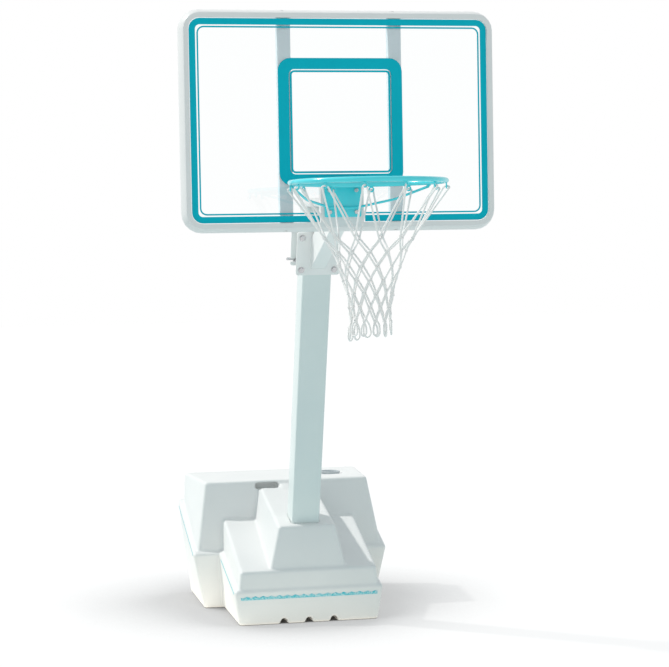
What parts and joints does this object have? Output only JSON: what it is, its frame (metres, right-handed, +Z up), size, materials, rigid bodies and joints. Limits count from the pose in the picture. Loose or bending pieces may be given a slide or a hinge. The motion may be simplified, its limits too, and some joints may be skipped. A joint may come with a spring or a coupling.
{
  "type": "poolside basketball hoop",
  "caption": "Free-standing poolside basketball hoop: fillable tank base, leaning square pole, sliding clamp with arm, clear framed board, ring and net.",
  "frame": {"origin": "middle of the tank's footprint on the deck, in the plane of symmetry", "axes": "+Z up, -Y out over the water towards the shooter, +X across the board"},
  "size_m": [1.038, 2.1467, 2.1147],
  "materials": {
    "tank_white": "rotation-moulded polyethylene, slightly rough",
    "frame_white": "white powder coat, satin",
    "pale_grey": "pale grey moulded plastic, satin",
    "rim_teal": "teal powder coat, glossy",
    "print_teal": "teal screen print",
    "clear_sheet": "clear acrylic sheet",
    "bright_steel": "stainless steel",
    "net_cord": "white braided nylon cord",
    "wheel_grey": "grey moulded polyethylene"
  },
  "bodies": {
    "stand": {"tank": "tank_white", "front_wave_film": "print_teal", "slab_stripe_film_left": "print_teal", "slab_stripe_film_right": "print_teal", "wing_stripe_film_left": "print_teal", "wing_stripe_film_right": "print_teal", "pole": "frame_white", "pole_cap": "pale_grey", "wheel_axle_left": "bright_steel", "wheel_axle_right": "bright_steel"},
    "hoop_head": {"clamp_plate_front": "frame_white", "clamp_plate_rear": "frame_white", "clamp_bolt_left_lower": "bright_steel", "clamp_bolt_left_upper": "bright_steel", "clamp_bolt_right_lower": "bright_steel", "clamp_bolt_right_upper": "bright_steel", "arm_channel": "frame_white", "arm_head_plate": "frame_white", "board_frame": "pale_grey", "clear_panel": "clear_sheet", "border_band_film": "print_teal", "border_line_film": "print_teal", "target_band_film": "print_teal", "target_line_film": "print_teal", "glazing_bead": "pale_grey", "strut_left": "frame_white", "strut_right": "frame_white", "strut_screw_left_lower": "bright_steel", "strut_screw_left_upper": "bright_steel", "strut_screw_right_lower": "bright_steel", "strut_screw_right_upper": "bright_steel", "rim_ring": "rim_teal", "rim_bracket": "rim_teal", "rim_brace_rod": "rim_teal", "rim_bolt_left_lower": "bright_steel", "rim_bolt_left_upper": "bright_steel", "rim_bolt_right_lower": "bright_steel", "rim_bolt_right_upper": "bright_steel", "rim_nut_left_lower": "bright_steel", "rim_nut_left_upper": "bright_steel", "rim_nut_right_lower": "bright_steel", "rim_nut_right_upper": "bright_steel", "net": "net_cord"},
    "handle_left_lower": {"clamp_handle_left_lower": "bright_steel"},
    "handle_left_upper": {"clamp_handle_left_upper": "bright_steel"},
    "handle_right_lower": {"clamp_handle_right_lower": "bright_steel"},
    "handle_right_upper": {"clamp_handle_right_upper": "bright_steel"},
    "fill_cap": {"fill_cap": "pale_grey"},
    "drain_plug": {"drain_plug": "pale_grey"},
    "wheel_left": {"wheel_left": "wheel_grey"},
    "wheel_right": {"wheel_right": "wheel_grey"}
  },
  "joints": [
    {"name": "height_slide", "type": "slide", "parent": "stand", "child": "hoop_head", "axis": [0, -0.3123, 0.95], "range_m": [-0.45, 0.06]},
    {"name": "left_lower_handle_turn", "type": "hinge", "parent": "hoop_head", "child": "handle_left_lower", "pos_m": [-0.0575, -0.54556, 1.31396], "axis": [0, 0.95, 0.3123], "continuous": true},
    {"name": "left_upper_handle_turn", "type": "hinge", "parent": "hoop_head", "child": "handle_left_upper", "pos_m": [-0.0575, -0.58179, 1.42416], "axis": [0, 0.95, 0.3123], "continuous": true},
    {"name": "right_lower_handle_turn", "type": "hinge", "parent": "hoop_head", "child": "handle_right_lower", "pos_m": [0.0575, -0.54556, 1.31396], "axis": [0, 0.95, 0.3123], "continuous": true},
    {"name": "right_upper_handle_turn", "type": "hinge", "parent": "hoop_head", "child": "handle_right_upper", "pos_m": [0.0575, -0.58179, 1.42416], "axis": [0, 0.95, 0.3123], "continuous": true},
    {"name": "fill_cap_turn", "type": "hinge", "parent": "stand", "child": "fill_cap", "pos_m": [0.2, 0.2, 0.47], "axis": [0, 0, 1], "range_deg": [0, 360]},
    {"name": "drain_plug_turn", "type": "hinge", "parent": "stand", "child": "drain_plug", "pos_m": [0, 0.385, 0.052], "axis": [0, 1, 0], "range_deg": [0, 360]},
    {"name": "wheel_left_roll", "type": "hinge", "parent": "stand", "child": "wheel_left", "pos_m": [-0.25, 0.3504, 0.055], "axis": [1, 0, 0], "continuous": true},
    {"name": "wheel_right_roll", "type": "hinge", "parent": "stand", "child": "wheel_right", "pos_m": [0.25, 0.3504, 0.055], "axis": [1, 0, 0], "continuous": true}
  ]
}
